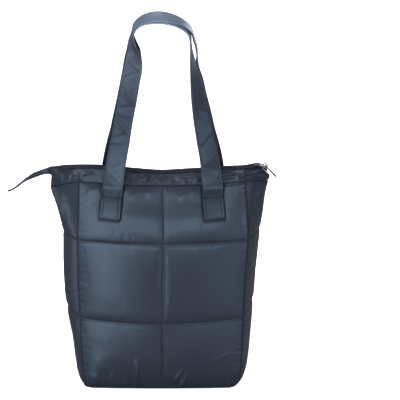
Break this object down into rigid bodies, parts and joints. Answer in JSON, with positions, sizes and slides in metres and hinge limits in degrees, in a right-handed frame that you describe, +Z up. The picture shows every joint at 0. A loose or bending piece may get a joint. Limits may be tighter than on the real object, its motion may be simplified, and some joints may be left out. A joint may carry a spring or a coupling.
{
  "type": "shoulder bag",
  "caption": "Quilted zip-top shoulder bag: padded nylon panels and gussets on a flat base, a plain top band with a closed zip, and flat straps that hold it up.",
  "frame": {"origin": "under the crown of the straps, where the bag hangs on a shoulder or hook", "axes": "+Z up, +X to the right seen from the front, and the front panel faces -Y"},
  "size_m": [0.4039, 0.1518, 0.5667],
  "materials": {
    "nylon": "satin slate-blue nylon over wadding",
    "strap_cloth": "the same nylon, folded flat and stitched",
    "zip_tape": "dark woven zip tape",
    "zip_teeth": "dark nylon zip teeth",
    "zip_metal": "silver-coloured plated zinc, slightly worn"
  },
  "bodies": {
    "bag": {"front_panel": "nylon", "back_panel": "nylon", "left_gusset": "nylon", "right_gusset": "nylon", "base_panel": "nylon", "front_band": "nylon", "back_band": "nylon", "zip_tape_front": "zip_tape", "zip_tape_back": "zip_tape", "zip_teeth": "zip_teeth", "zip_tail": "strap_cloth", "tail_tab": "strap_cloth", "front_strap": "strap_cloth", "back_strap": "strap_cloth", "zip_slider": "zip_metal"},
    "puller": {"zip_puller": "zip_metal"}
  },
  "joints": [
    {"name": "puller_swing", "type": "hinge", "parent": "bag", "child": "puller", "pos_m": [0.15451, 0, -0.22611], "axis": [0, -1, 0], "range_deg": [0, 195]}
  ]
}
